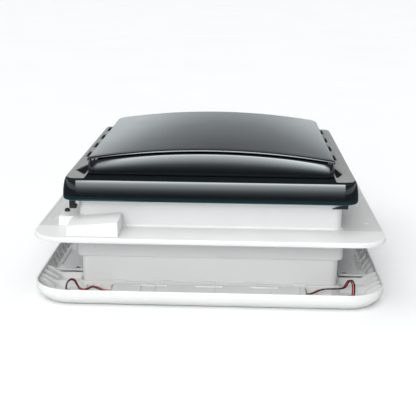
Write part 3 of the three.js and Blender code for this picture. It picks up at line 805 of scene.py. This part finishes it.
def make_base():
    section = filleted(
        [
            (UPSTAND_HALF - 3, UPSTAND_TOP, 1.2),
            (UPSTAND_HALF, UPSTAND_TOP, 1.2),
            (UPSTAND_HALF, FLANGE_TOP, 3.5),
            (FLANGE_HALF, FLANGE_TOP, 3.2),
            (FLANGE_HALF, LIP_BOTTOM, 0.8),
            (FLANGE_HALF - 3, LIP_BOTTOM, 0.8),
            (FLANGE_HALF - 3, FLANGE_UNDER, 1.2),
            (SPIGOT_HALF, FLANGE_UNDER, 1.5),
            (SPIGOT_HALF, BASE_LOW[2], 0.9),
            (SPIGOT_HALF - 3.2, BASE_LOW[2], 0.9),
            (SPIGOT_HALF - 3.2, FLANGE_UNDER, 0.6),
            (UPSTAND_HALF - 3, FLANGE_UNDER, 0.6),
        ]
    )
    base = square_ring("base_frame_shell", section, flange_corner)
    # Shallow texture fields in the side rails, and countersunk screw holes.
    tools = []
    for side in (-1, 1):
        low, high = sorted((side * (UPSTAND_HALF + 6), side * (FLANGE_HALF - 5)))
        tools.append(block(low, high, -FIELD_END, FIELD_END, FLANGE_TOP - 0.5, FLANGE_TOP + 3, 0.2, 1))
        for y in SCREW_ROW:
            profile = [(2.4, -8), (2.4, -2.2), (4.6, -0.3), (4.6, 4)]
            tools.append(turned(profile, (side * SCREW_X, y, FLANGE_TOP)))
    boolean(base, tools, "DIFFERENCE")
    finish(base, "base_shell", "base", "base_frame", slot="white_shell")


HOUSING_X = (-196, -124)
HOUSING_Y = (-241, -180)
HOUSING_TOP = (114.5, 121)  # its top slopes up to the right
WING_X = (-216, -180)
WING_Y = (-192, -146)
WING_TOP = 115
HOUSING_SCREW = (-208, -166)


def tapered(name, xs, ys, bottom, tops, draft):
    """A box that narrows upwards, with its own top height at each side."""
    (x0, x1), (y0, y1) = xs, ys
    corners = [(x0, y0), (x1, y0), (x1, y1), (x0, y1)]
    vertices = [(x, y, bottom) for x, y in corners]
    heights = (tops[0], tops[1], tops[1], tops[0])
    inward = ((draft, draft), (-draft, draft), (-draft, 0), (draft, 0))
    for (x, y), (dx, dy), z in zip(corners, inward, heights):
        vertices.append((x + dx, y + dy, z))
    faces = [(3, 2, 1, 0), (4, 5, 6, 7), (0, 1, 5, 4), (1, 2, 6, 5), (2, 3, 7, 6), (3, 0, 4, 7)]
    return mesh_from(name, vertices, faces)


def make_gear_housing():
    bottom = FLANGE_TOP + GAP
    housing = tapered("gear_housing_shell", HOUSING_X, HOUSING_Y, bottom, HOUSING_TOP, 0.8)
    wing = tapered("wing", WING_X, WING_Y, bottom, (WING_TOP, WING_TOP), 0.8)
    boolean(housing, [wing], "UNION")
    apply_modifiers(bevel(housing, 2.2, 4, 25))
    half = UPSTAND_HALF + 0.6
    clear = square_cup("clear", [(half, bottom - 5), (half, 130)], lambda _: CORNER + 0.6)
    hole = peg(1.9, WING_TOP - 7, WING_TOP + 3, *HOUSING_SCREW)
    boolean(housing, [clear, hole], "DIFFERENCE")
    finish(housing, "white_shell", "base", "gear_housing")


make_base()
make_gear_housing()


# ---- Ceiling frame ----------------------------------------------------------
RAIL_WALL = 3
RIB_FOOT = 189.3  # ribs start just inside the channel's inner wall
RIB_ROW = (-178, -142, 142, 178)
GUSSET_ROW = (-160, -124, 124, 160)
STIFFENER_ROW = (-110, -90, -70, -45, -20, 20, 45, 70, 90, 110)
CELL_ROW = (-194, -178, -160, -142, 142, 160, 178, 194)
BOSS_LINE = 216
BOSS_ROW = (-90, 90)
BOSS_TOP = 12.5
INNER_TOP = 16  # wall between the channel and the collar
COVER_LOW = 13
COVER_TOP = 15.5
TAB_ROW = (-130, -60, 0, 60, 130)
LAMP_XY = 206
KNOB_XY = -171


def frame_corner(half):
    return max(CORNER, FRAME_RADIUS - (FRAME_HALF - half))


def wedge(outline, u0, u1):
    """A thin plate whose outline is (x, z) points, between u0 and u1 in Y."""
    count = len(outline)
    vertices = [(x, y, z) for y in (u0, u1) for x, z in outline]
    faces = [tuple(range(count)), tuple(reversed(range(count, 2 * count)))]
    for i in range(count):
        j = (i + 1) % count
        faces.append((i, j, count + j, count + i))
    return mesh_from("wedge", vertices, faces)


def quarter_turned(obj, quarters):
    obj.data.transform(Matrix.Rotation(quarters * math.pi / 2, 4, "Z"))
    return obj


def rail_furniture(quarters):
    """Ribs, gussets, wall stiffeners and bosses of one side of the channel."""
    made = []
    wall = [
        (FRAME_HALF - 15.5, FRAME_FLOOR),
        (FRAME_HALF - 7.2, 7),
        (FRAME_HALF - 2.8, 12),
    ]
    for u in RIB_ROW:
        top = [(FRAME_HALF - 2, 15), (FRAME_HALF - 14, 12), (RIB_FOOT, 12)]
        made.append(wedge([(RIB_FOOT, FRAME_FLOOR)] + wall + top, u - 1, u + 1))
    for u in GUSSET_ROW:
        made.append(wedge([(225, FRAME_FLOOR)] + wall + [(FRAME_HALF - 1.8, 21.5)], u - 0.9, u + 0.9))
        made.append(wedge([(189, FRAME_FLOOR), (200, FRAME_FLOOR), (189, INNER_TOP - 2)], u - 0.9, u + 0.9))
    for u in STIFFENER_ROW:
        made.append(wedge(wall + [(FRAME_HALF - 1.8, 23.5)], u - 0.8, u + 0.8))
    for u in CELL_ROW:
        top = [(FRAME_HALF - 2, 22.5), (FRAME_HALF - 9, 21), (FRAME_HALF - 24, 12)]
        made.append(wedge([(FRAME_HALF - 24, FRAME_FLOOR)] + wall + top, u - 0.9, u + 0.9))
    for u in BOSS_ROW:
        made.append(peg(5, FRAME_FLOOR, BOSS_TOP, BOSS_LINE, u, 28))
    return [quarter_turned(piece, quarters) for piece in made]


def make_ceiling_frame():
    wall = FRAME_HALF - RAIL_WALL
    section = filleted(
        [
            (OPENING_HALF, 0, 2.2),
            (FRAME_HALF - 13, 0, 11),
            (FRAME_HALF, 12, 14),
            (FRAME_HALF, FRAME_TOP, 1.1),
            (wall, FRAME_TOP, 1.1),
            (wall, 12, 9),
            (FRAME_HALF - 14, FRAME_PLATE, 5),
            (CHANNEL_INNER, FRAME_PLATE, 1),
            (CHANNEL_INNER, INNER_TOP, 0.8),
            (COLLAR_HALF + 1, INNER_TOP, 0.8),
            (COLLAR_HALF + 1, FRAME_PLATE, 0.6),
            (OPENING_HALF + 2.5, FRAME_PLATE, 0.6),
            (OPENING_HALF + 2.5, 6, 0.9),
            (OPENING_HALF, 6, 0.9),
        ],
        steps=6,
    )
    shell = square_ring("ceiling_frame_shell", section, frame_corner)
    extras = []
    for quarters in range(4):
        extras += rail_furniture(quarters)
    for x in TAB_ROW:
        for y in (-CHANNEL_INNER + 1.6, CHANNEL_INNER - 1.6):
            tab = block(x - 9, x + 9, y - 1.3, y + 1.3, INNER_TOP - 4, INNER_TOP + 2.5, 0.5, 2)
            extras.append(tab)
    boolean(shell, extras, "UNION")
    cuts = []
    for quarters in range(4):
        for u in BOSS_ROW:
            cuts.append(quarter_turned(peg(2.1, -3, 20, BOSS_LINE, u), quarters))
            profile = [(4.4, -3), (4.4, 0.4), (2.1, 2.4), (2.1, 3)]
            cuts.append(quarter_turned(turned(profile, (BOSS_LINE, u, 0)), quarters))
    cuts.append(peg(11.2, -3, 6.5, KNOB_XY, KNOB_XY, 48))
    for side in (-1, 1):
        cuts.append(peg(12.4, -3, 4, side * LAMP_XY, -LAMP_XY, 48))
    for x in (-181, 139):
        cuts.append(block(x, x + 42, -215, -200, 6.5, 16))
    boolean(shell, cuts, "DIFFERENCE")
    finish(shell, "white_shell", "base", "ceiling_frame", degrees=30)


def make_collar():
    inner = COLLAR_HALF - 2.5
    section = filleted(
        [
            (inner, COLLAR_LOW[2], 0.5),
            (COLLAR_HALF, COLLAR_LOW[2], 0.5),
            (COLLAR_HALF, COLLAR_HIGH[2], 0.9),
            (inner, COLLAR_HIGH[2], 0.9),
        ]
    )
    collar = square_ring("telescopic_collar_shell", section, lambda half: CORNER - (COLLAR_HALF - half))
    finish(collar, "white_shell", "base", "telescopic_collar")


def screw_well(x, y):
    """Cutter for a countersunk hole in a cover."""
    return turned([(2.6, -4), (2.6, 1.4), (4.6, 2.8), (4.6, 5)], (x, y, COVER_LOW))


def make_side_covers():
    """Flat plates over the side channels, with slots, a raised rim and screw wells."""
    low, high = COVER_LOW, COVER_TOP
    plate = block(-234, -193, -138, 138, low, high, 0.7, 2)
    rims = [block(x, x + 2, -136, 136, low + 1, high + 1.2, 0.6, 2) for x in (-234, -195)]
    boolean(plate, rims, "UNION")
    cuts = [block(-230, -224, y, y + 80, low - 2, high + 3, 2.6, 3) for y in (-120, 40)]
    cuts += [screw_well(-BOSS_LINE, y) for y in BOSS_ROW]
    cuts += [block(-205, -199, y, y + 12, low - 2, high + 3, 1.0, 2) for y in (-133, -60, 48, 121)]
    boolean(plate, cuts, "DIFFERENCE")
    plate.name = "side_cover_plate_left"
    right = mirrored(plate, "side_cover_plate_right")
    finish(plate, "light_grey", "base", "side_cover_left")
    finish(right, "light_grey", "base", "side_cover_right")


def make_front_cover():
    """Clip plate along the front of the channel."""
    low, high = COVER_LOW, COVER_TOP
    plate = block(-138, 138, -236, -193, low, high, 0.7, 2)
    adds = [block(-138, 138, -236, -233.5, low + 1, high + 3, 0.8, 2)]
    adds += [block(x, x + 40, -203, -199, low + 1, high + 2, 0.8, 2) for x in (-100, -20, 60)]
    for x in (-98, -77, 8, 92, 128):
        adds.append(block(x - 0.8, x + 0.8, -233, -201, low + 1, high + 2.2, 0.4, 2))
    boolean(plate, adds, "UNION")
    cuts = [screw_well(x, -BOSS_LINE) for x in BOSS_ROW]
    cuts += [block(x, x + 14, -229, -224, low - 2, high + 5, 1.2, 2) for x in (-130, -60, 40, 112)]
    boolean(plate, cuts, "DIFFERENCE")
    plate.name = "front_cover_plate"
    finish(plate, "white_shell", "base", "front_cover")


make_ceiling_frame()
make_collar()
make_side_covers()
make_front_cover()


# ---- Lid --------------------------------------------------------------------
def pan_corner(half):
    return max(9, 22 - (SKIRT_HALF - half))


SKIRT_LEAN = 3.1


def skirt_point(t):
    """Outline of the skirt's outer face from its foot to its shoulder."""
    low, high = SKIRT_BOTTOM + 4, LID_TOP - 3.2
    return SKIRT_HALF - SKIRT_LEAN * t**2, low + (high - low) * t, 0


def make_pan():
    skirt = filleted(
        [
            (180, LID_TOP - 3, 0),
            (LID_HALF - 4, LID_TOP - 3, 2),
            (LID_HALF + 0.4 - LID_WALL, LID_TOP - 8, 4),
            (SKIRT_HALF - LID_WALL, SKIRT_BOTTOM + 2, 4),
            (SKIRT_HALF - LID_WALL, SKIRT_BOTTOM, 1.0),
            (SKIRT_HALF - 0.6, SKIRT_BOTTOM, 0.9),
            (SKIRT_HALF, SKIRT_BOTTOM + 2.5, 3),
        ]
        + [skirt_point(k / 12) for k in range(13)]
        + [
            (SKIRT_HALF - SKIRT_LEAN - 1.2, LID_TOP, 3.2),
            (SKIRT_HALF - SKIRT_LEAN - 8, LID_TOP, 0),
            (180, LID_TOP, 0),
        ],
        closed=False,
        steps=7,
    )
    pan = square_cup("lid_pan_shell", skirt, pan_corner)
    finish(pan, "smoke_pan", "lid", "lid_pan", slot="smoke_lid")


def hood_height(x):
    radius = (HOOD_HALF**2 + HOOD_RISE**2) / (2 * HOOD_RISE)
    return HOOD_EDGE + HOOD_RISE - radius + math.sqrt(radius**2 - x**2)


def graded(count, fine):
    """Positions from 0 to 1, with extra ones close to both ends; fine is the width of an end."""
    near = [fine * (1 - math.cos(math.pi / 2 * k / 5)) for k in range(6)]
    middle = [fine + (1 - 2 * fine) * k / count for k in range(1, count)]
    return near + middle + [1 - v for v in reversed(near)]


def shell_from(name, us, vs, place, thick):
    """A closed shell: a grid surface, and the same surface moved inwards by thick."""
    points = [[Vector(place(u, v)) for u in us] for v in vs]
    rows, columns = len(vs), len(us)
    inner = []
    for j in range(rows):
        for i in range(columns):
            right = points[j][min(i + 1, columns - 1)] - points[j][max(i - 1, 0)]
            ahead = points[min(j + 1, rows - 1)][i] - points[max(j - 1, 0)][i]
            inner.append(points[j][i] - right.cross(ahead).normalized() * thick)
    outer = [p for row in points for p in row]
    total = len(outer)
    faces = []
    for j in range(rows - 1):
        for i in range(columns - 1):
            a = j * columns + i
            faces.append((a, a + 1, a + 1 + columns, a + columns))
            faces.append((total + a, total + a + columns, total + a + 1 + columns, total + a + 1))
    rim = (
        list(range(columns))
        + [j * columns + columns - 1 for j in range(1, rows)]
        + [(rows - 1) * columns + i for i in range(columns - 2, -1, -1)]
        + [j * columns for j in range(rows - 2, 0, -1)]
    )
    for a, b in zip(rim, rim[1:] + rim[:1]):
        faces.append((a, total + a, total + b, b))
    return mesh_from(name, outer + inner, faces)


HOOD_CORNER = 14
HOOD_LIP = 2.6


def hood_point(u, v):
    y = HOOD_FRONT + (HOOD_BACK - HOOD_FRONT) * v
    past = max(0, y - (HOOD_BACK - HOOD_CORNER))
    half = HOOD_HALF - HOOD_CORNER + math.sqrt(max(0, HOOD_CORNER**2 - past**2))
    x = half * (2 * u - 1)
    edge = min(half - abs(x), y - HOOD_FRONT, HOOD_BACK - y)
    short = max(0, HOOD_LIP - edge)
    drop = HOOD_LIP - math.sqrt(max(0, HOOD_LIP**2 - short**2))
    return x, y, hood_height(x) - drop


def make_hood():
    us = graded(44, HOOD_LIP / (2 * HOOD_HALF))
    vs = graded(30, HOOD_LIP / (HOOD_BACK - HOOD_FRONT))
    vs = sorted(set(vs + [1 - HOOD_CORNER / (HOOD_BACK - HOOD_FRONT) * k / 8 for k in range(1, 9)]))
    hood = shell_from("lid_hood_shell", us, vs, hood_point, 2.2)
    reach = HOOD_HALF - 8
    arch = [reach - 2 * reach * k / 38 for k in range(39)]
    rear = wedge(
        [(-reach, LID_TOP + GAP), (reach, LID_TOP + GAP)]
        + [(x, hood_height(x) - 1.2) for x in arch],
        HOOD_BACK - 9,
        HOOD_BACK - 6,
    )
    boolean(hood, [rear], "UNION")
    finish(hood, "smoke_lid", "lid", "lid_hood", degrees=50)


NOSE_HALF = HOOD_HALF - 1
NOSE_FRONT = -177
NOSE_BACK = -167.5
NOSE_LOW = LID_TOP + GAP
NOSE_END = 7
NOSE_LEAN = 4.4


def nose_point(u, v):
    x = NOSE_HALF * (2 * u - 1)
    end = max(0, NOSE_END - (NOSE_HALF - abs(x)))
    back = NOSE_END - math.sqrt(max(0, NOSE_END**2 - end**2))
    low = NOSE_LOW + 0.6 * back
    high = hood_height(x) - 5 - 0.5 * back
    z = low + (high - low) * v
    lean = NOSE_LEAN * v**2.6
    edge = min(v, 1 - v) * (high - low)
    short = max(0, 1.8 - edge)
    roll = 1.8 - math.sqrt(max(0, 1.8**2 - short**2))
    return x, min(NOSE_BACK, NOSE_FRONT + lean + roll + back), z


def make_nose():
    us = graded(44, NOSE_END / (2 * NOSE_HALF))
    nose = shell_from("lid_nose_shell", us, graded(14, 0.09), nose_point, 2.0)
    finish(nose, "smoke_lid", "lid", "lid_nose", degrees=50)


VENT_OUTER = LID_HALF - 3.4
WINDOW_ROW = (-69, 2.5, 74, 145.5)
WINDOW_LENGTH = 44
WINDOW_EXTRA = 2.5  # how far the windows reach past those of the CAD strip
STRIP_LOW = LID_TOP + GAP
STRIP_TOP = STRIP_LOW + 2
RISER_TOP = HOOD_EDGE - HOOD_THICK - GAP


def plan_plate(outline, z0, z1, name="plate"):
    """A flat plate whose outline is (x, y) points."""
    count = len(outline)
    vertices = [(x, y, z) for z in (z0, z1) for x, y in outline]
    faces = [tuple(reversed(range(count))), tuple(range(count, 2 * count))]
    for i in range(count):
        j = (i + 1) % count
        faces.append((i, j, count + j, count + i))
    return mesh_from(name, vertices, faces)


def make_vent(side, margin):
    """The matte strip on one side of the pan, built on the left and mirrored for the right."""
    inner = -VENT_OUTER + margin
    slot = inner - WINDOW_EXTRA
    edge = -STRIP_INNER
    corners = filleted([(-VENT_OUTER, -199, 15), (edge, -199, 3), (edge, 196, 3), (-VENT_OUTER, 196, 15)])
    strip = plan_plate(corners, STRIP_LOW, STRIP_TOP, "side_vent_strip")
    apply_modifiers(bevel(strip, 0.5, 2))
    frames = [
        block(slot - 1.3, edge - 1, y - 1.6, y + WINDOW_LENGTH + 1.6, STRIP_LOW + 1, STRIP_TOP + 0.5, 0.4, 2)
        for y in WINDOW_ROW
    ]
    riser = block(edge - 0.4, edge + 2.1, -164, 150, STRIP_LOW + 0.4, RISER_TOP, 0.5, 2)
    boolean(strip, frames + [riser], "UNION")
    cuts = [
        block(slot, edge - 2, y, y + WINDOW_LENGTH, STRIP_LOW - 1, STRIP_TOP + 2, 1.2, 3)
        for y in WINDOW_ROW
    ]
    triangle = filleted([(slot + 1, -155, 1.5), (edge - 2, -185, 1.5), (edge - 2, -98, 1.5)])
    cuts.append(plan_plate(triangle, STRIP_LOW - 1, STRIP_TOP + 2))
    cuts += [
        block(edge - 3, edge + 4, -150 + i * 33, -126 + i * 33, STRIP_LOW + 6, HOOD_EDGE - 7, 1.2, 2)
        for i in range(9)
    ]
    boolean(strip, cuts, "DIFFERENCE")
    if side == "right":
        left = strip
        strip = mirrored(left, "side_vent_strip_right")
        bpy.data.objects.remove(left)
    else:
        strip.name = "side_vent_strip_left"
    finish(strip, "grey_strip", "lid", f"side_vent_{side}", degrees=30)


make_pan()
make_hood()
make_nose()
make_vent("left", 8)
make_vent("right", 15)


# ---- Blind and insect screen ------------------------------------------------
FOLD_START = -142.7
FOLD_END = 160.7
FOLD_HALF = 163.5
FOLD_HEIGHT = 1.25  # above and below the sheet's middle
CLOTH_THICK = 0.35
CLOTH_COLUMNS = 12


def pleat_faces(count, wide):
    """Faces of two parallel sheets of wide columns, and the edges between them."""
    total = wide * (count + 1)
    faces = []
    for j in range(count):
        for i in range(wide - 1):
            a = j * wide + i
            faces.append((a, a + 1, a + 1 + wide, a + wide))
            faces.append((total + a, total + a + wide, total + a + 1 + wide, total + a + 1))
    for j in range(count):
        for i in (0, wide - 1):
            a = j * wide + i
            faces.append((a, a + wide, total + a + wide, total + a))
    for j in (0, count):
        for i in range(wide - 1):
            a = j * wide + i
            faces.append((a, total + a, total + a + 1, a + 1))
    return faces


def make_pleats(name, middle, folds, look):
    """A zigzag of cloth between its bar and the rear rail, with thickness."""
    count = 2 * folds
    lines = []
    for k in range(count + 1):
        y = FOLD_START + (FOLD_END - FOLD_START) * k / count
        lines.append((y, middle + (FOLD_HEIGHT if k % 2 else -FOLD_HEIGHT)))
    columns = [-FOLD_HALF + 2 * FOLD_HALF * i / CLOTH_COLUMNS for i in range(CLOTH_COLUMNS + 1)]
    vertices = []
    for offset in (CLOTH_THICK / 2, -CLOTH_THICK / 2):
        for y, z in lines:
            vertices += [(x, y, z + offset) for x in columns]
    cloth = mesh_from(name, vertices, pleat_faces(count, len(columns)))
    finish(cloth, look, "base", name.replace("_pleats", "_fabric"), degrees=20, weighted=False)
    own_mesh(cloth)


make_pleats("blind_pleats", 10, 22, "blind_cloth")
make_pleats("screen_pleats", 17, 26, "screen_mesh")


# ---- Lamps' wires -----------------------------------------------------------
LEAD_R = 1.1
LEFT_ROUTE = [
    (-205, -204, 7.2),
    (-206, -202, 11),
    (-205, -198, 17),
    (-200, -197, 21.5),
    (-194, -200, 21.5),
    (-190, -203.5, 17),
    (-186, -206, 12),
    (-180, -207, 10),
    (-173.5, -207, 12),
    (-167, -206.5, 15),
    (-160, -206, 13),
    (-152, -205.5, 9.5),
    (-144, -205.2, 8.2),
    (-136.3, -205, 8.2),
]
RIGHT_ROUTE = [
    (205, -204, 7.2),
    (206.5, -197, 11),
    (207.5, -186.5, 17),
    (205.5, -180, 20.6),
    (202, -180.5, 21.6),
    (198.5, -187, 20.8),
    (195, -196, 19.6),
    (191, -203.5, 19),
    (184, -207, 18.8),
    (174, -208, 18.8),
    (164, -207.5, 18),
    (155, -206.5, 15),
    (146, -205.5, 10),
    (136.3, -205, 8.2),
]


def make_lead(node, route, look, shift=(0, 0, 0)):
    moved = [tuple(a + b for a, b in zip(point, shift)) for point in route]
    lead = tube(f"{node}_wire", moved, LEAD_R)
    finish(lead, look, "base", node, weighted=False, degrees=60)


make_lead("lead_red_left", LEFT_ROUTE, "lead_red")
make_lead("lead_black_left", LEFT_ROUTE, "lead_black", (0, -3.4, 0))
make_lead("lead_red_right", RIGHT_ROUTE, "lead_red")
make_lead("lead_black_right", RIGHT_ROUTE, "lead_black", (2.5, -2.5, 1.3))


# ---- Nodes that keep their CAD shape ----------------------------------------
NODE_BEVEL = 0.35
NODE_SHARP = 35


def dress_node(name, look):
    """Material and softened edges for a carried-over node; its mesh isn't touched."""
    obj = nodes[name]
    obj.data.materials.clear()
    obj.data.materials.append(LOOKS[look])
    bevel(obj, NODE_BEVEL, 3, NODE_SHARP)
    even_normals(obj)


KEPT = {
    "rubber_seal": ("roof_seal", "lid_seal", "housing_screw"),
    "black_plastic": (
        "lid_catch",
        "lid_guide",
        "shaft_bracket_front",
        "shaft_bracket_rear",
        "spindle_bracket",
    ),
    "light_grey": ("lid_liner", "screen_bar"),
    "white_shell": ("rear_rail", "blind_bar", "crank_knob"),
    "steel": ("drive_shaft", "crank_spindle"),
    "brass": ("sector_gear", "shaft_gear", "spindle_gear"),
}
KEPT_PAIRS = {
    "black_plastic": ("hinge_bracket", "hinge_leaf", "lift_arm", "arm_bracket", "slider_track"),
    "light_grey": ("slider",),
    "white_shell": ("blind_track", "lead_connector"),
    "steel": ("hinge_pin", "arm_pivot"),
    "lamp_lens": ("lamp_lens",),
    "lamp_board": ("lamp_board",),
}
for look, names in KEPT.items():
    for name in names:
        dress_node(name, look)
for look, names in KEPT_PAIRS.items():
    for name in names:
        dress_node(f"{name}_left", look)
        dress_node(f"{name}_right", look)
